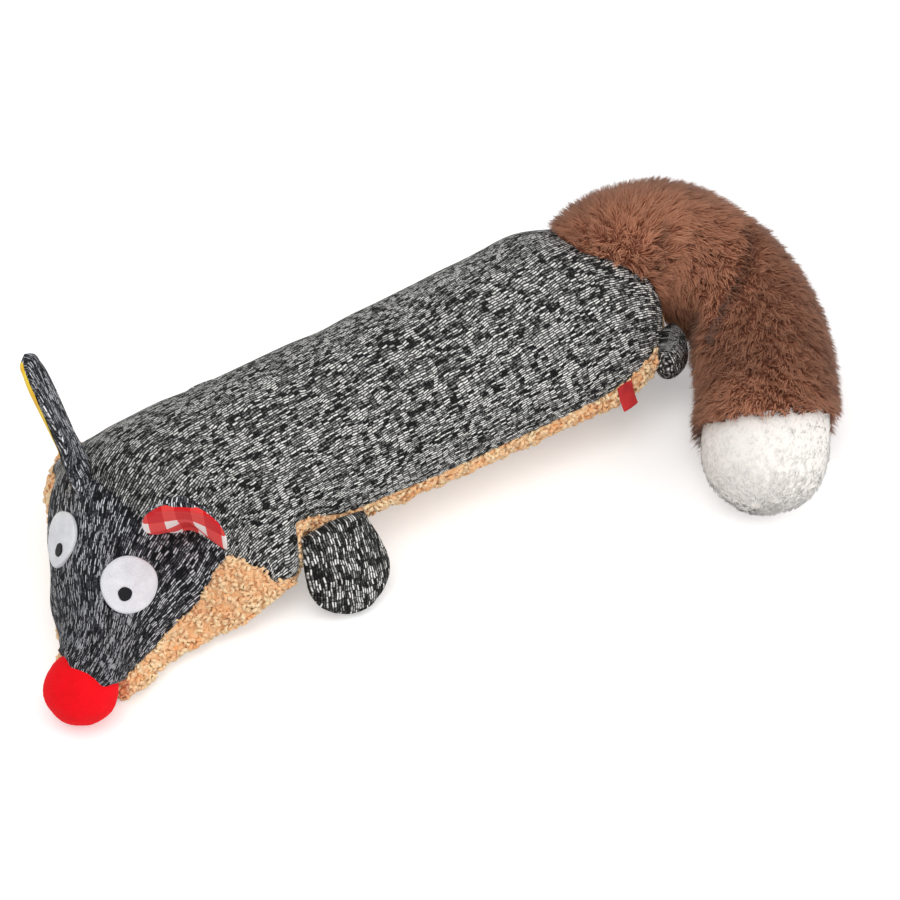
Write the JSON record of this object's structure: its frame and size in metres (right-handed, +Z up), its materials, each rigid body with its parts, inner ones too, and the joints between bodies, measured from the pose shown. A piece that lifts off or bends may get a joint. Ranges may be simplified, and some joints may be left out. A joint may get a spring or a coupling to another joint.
{
  "type": "squeaky dog toy",
  "caption": "Stuffed fox dog toy lying on its belly: knit back and head, teddy fleece belly, red ball nose, fur tail, floppy ears and legs, and a squeaker inside.",
  "frame": {"origin": "middle of the flat strip of the belly that the toy rests on, below the middle of the body", "axes": "+X along the body towards the tail, +Y to the fox's right side, +Z up"},
  "size_m": [0.426, 0.2213, 0.1131],
  "materials": {
    "knit": "marled black and white knit",
    "sherpa": "curly apricot teddy fleece",
    "fur_brown": "brown pile fur",
    "fur_white": "white pile fur",
    "felt_white": "white felt",
    "felt_red": "bright red fleece",
    "pupil_black": "black embroidery",
    "lining_red": "red and white check cotton",
    "lining_yellow": "yellow cotton",
    "label_red": "plain red woven tape",
    "polyfill": "loose polyester filling",
    "soft_plastic": "soft translucent plastic"
  },
  "bodies": {
    "body": {"back_cover": "knit", "belly_panel": "sherpa", "front_filling": "polyfill", "rear_filling": "polyfill", "squeaker_base": "soft_plastic", "squeaker_pleat": "soft_plastic", "squeaker_reed": "soft_plastic"},
    "squeaker_top": {"squeaker_cap": "soft_plastic"},
    "head": {"head_mask": "knit", "head_cheeks": "sherpa", "head_filling": "polyfill", "eye_left_felt": "felt_white", "eye_left_pupil": "pupil_black", "eye_right_felt": "felt_white", "eye_right_pupil": "pupil_black", "nose_ball": "felt_red"},
    "ear_left": {"ear_left_back": "knit", "ear_left_lining": "lining_red"},
    "ear_right": {"ear_right_back": "knit", "ear_right_lining": "lining_yellow"},
    "tail": {"tail_sleeve": "fur_brown", "tail_filling": "polyfill"},
    "tail_tip": {"tail_tip_cover": "fur_white", "tail_tip_filling": "polyfill"},
    "label": {"label_tab": "label_red"},
    "leg_front_left": {"leg_front_left_top": "knit", "leg_front_left_sole": "knit", "leg_front_left_filling": "polyfill"},
    "leg_front_right": {"leg_front_right_top": "knit", "leg_front_right_sole": "knit", "leg_front_right_filling": "polyfill"},
    "leg_rear_left": {"leg_rear_left_top": "knit", "leg_rear_left_sole": "knit", "leg_rear_left_filling": "polyfill"},
    "leg_rear_right": {"leg_rear_right_top": "knit", "leg_rear_right_sole": "knit", "leg_rear_right_filling": "polyfill"}
  },
  "joints": [
    {"name": "neck_turn", "type": "hinge", "parent": "body", "child": "head", "pos_m": [-0.127, 0, 0.036], "axis": [0, 0, 1], "range_deg": [-72, 2]},
    {"name": "ear_left_flop", "type": "hinge", "parent": "head", "child": "ear_left", "pos_m": [-0.12964, -0.04402, 0.0603], "axis": [0.839, -0.5441, 0.0004], "range_deg": [-25, 25], "stiffness_Nm_per_rad": 0.02},
    {"name": "ear_right_flop", "type": "hinge", "parent": "head", "child": "ear_right", "pos_m": [-0.15419, 0.01388, 0.07254], "axis": [-0.5377, -0.7137, 0.4488], "range_deg": [-25, 25], "stiffness_Nm_per_rad": 0.02},
    {"name": "leg_front_left_lift", "type": "hinge", "parent": "body", "child": "leg_front_left", "pos_m": [-0.062, -0.05573, 0.034], "axis": [1, 0, 0], "range_deg": [-70, 0]},
    {"name": "leg_front_right_lift", "type": "hinge", "parent": "body", "child": "leg_front_right", "pos_m": [-0.062, 0.05573, 0.034], "axis": [-1, 0, 0], "range_deg": [-70, 0]},
    {"name": "leg_rear_left_lift", "type": "hinge", "parent": "body", "child": "leg_rear_left", "pos_m": [0.13305, -0.04251, 0.05], "axis": [0.7193, 0.6947, 0], "range_deg": [-3, 0]},
    {"name": "leg_rear_right_lift", "type": "hinge", "parent": "body", "child": "leg_rear_right", "pos_m": [0.12522, 0.04924, 0.037], "axis": [-0.829, 0.5592, 0], "range_deg": [-60, 0]},
    {"name": "tail_swing", "type": "hinge", "parent": "body", "child": "tail", "pos_m": [0.092, 0, 0.045], "axis": [0, 0, 1], "range_deg": [-5, 3]},
    {"name": "tail_tip_bend", "type": "hinge", "parent": "tail", "child": "tail_tip", "pos_m": [0.147, -0.104, 0.028], "axis": [0, 0, 1], "range_deg": [-15, 15]},
    {"name": "label_flap", "type": "hinge", "parent": "body", "child": "label", "pos_m": [0.10325, -0.05384, 0.0368], "axis": [0.9789, 0.2045, 0], "range_deg": [-70, 3], "stiffness_Nm_per_rad": 0.0005},
    {"name": "squeaker_squeeze", "type": "slide", "parent": "body", "child": "squeaker_top", "axis": [0, 0, -1], "range_m": [0, 0.007], "stiffness_N_per_m": 150, "deforming": ["squeaker_pleat"]}
  ]
}
